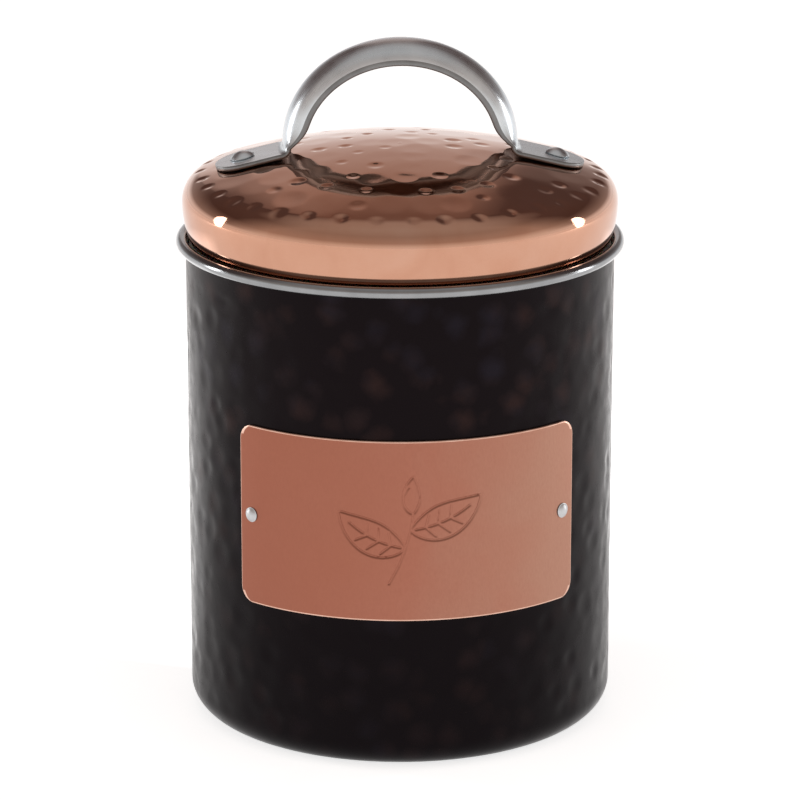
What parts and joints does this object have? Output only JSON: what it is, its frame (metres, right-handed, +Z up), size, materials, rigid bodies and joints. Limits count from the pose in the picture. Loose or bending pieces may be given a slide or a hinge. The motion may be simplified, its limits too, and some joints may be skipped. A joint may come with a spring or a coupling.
{
  "type": "tea caddy",
  "caption": "Round tea canister with a rolled rim, a riveted label plate and a lift-off domed lid with an arched strap handle.",
  "frame": {"origin": "centre of the base, on the surface that the caddy stands on", "axes": "+Z up along the can's axis; the label plate faces -Y; the handle's arch lies in the XZ plane"},
  "size_m": [0.1128, 0.1128, 0.1738],
  "materials": {
    "blackened_steel": "hammered, black lacquer outside, bare steel inside and on the rim",
    "plain_steel": "plain",
    "satin_copper": "copper plated, satin",
    "polished_copper": "copper plated, polished, hammered dome",
    "silicone": "translucent white silicone",
    "handle_steel": "satin polished"
  },
  "bodies": {
    "can": {"body_shell": "blackened_steel", "rim_wire": "plain_steel", "label_plate": "satin_copper", "plate_rivet_left": "plain_steel", "plate_rivet_right": "plain_steel", "plate_washer_left": "plain_steel", "plate_washer_right": "plain_steel"},
    "seal": {"lid_seal": "silicone"},
    "lid": {"lid_shell": "polished_copper", "lid_liner": "plain_steel", "handle": "handle_steel", "handle_rivet_left": "handle_steel", "handle_rivet_right": "handle_steel", "handle_washer_left": "plain_steel", "handle_washer_right": "plain_steel"}
  },
  "joints": [
    {"name": "lid_lift", "type": "slide", "parent": "can", "child": "seal", "axis": [0, 0, 1], "range_m": [0, 0.04]},
    {"name": "lid_turn", "type": "hinge", "parent": "seal", "child": "lid", "pos_m": [0, 0, 0.12], "axis": [0, 0, 1], "continuous": true}
  ]
}
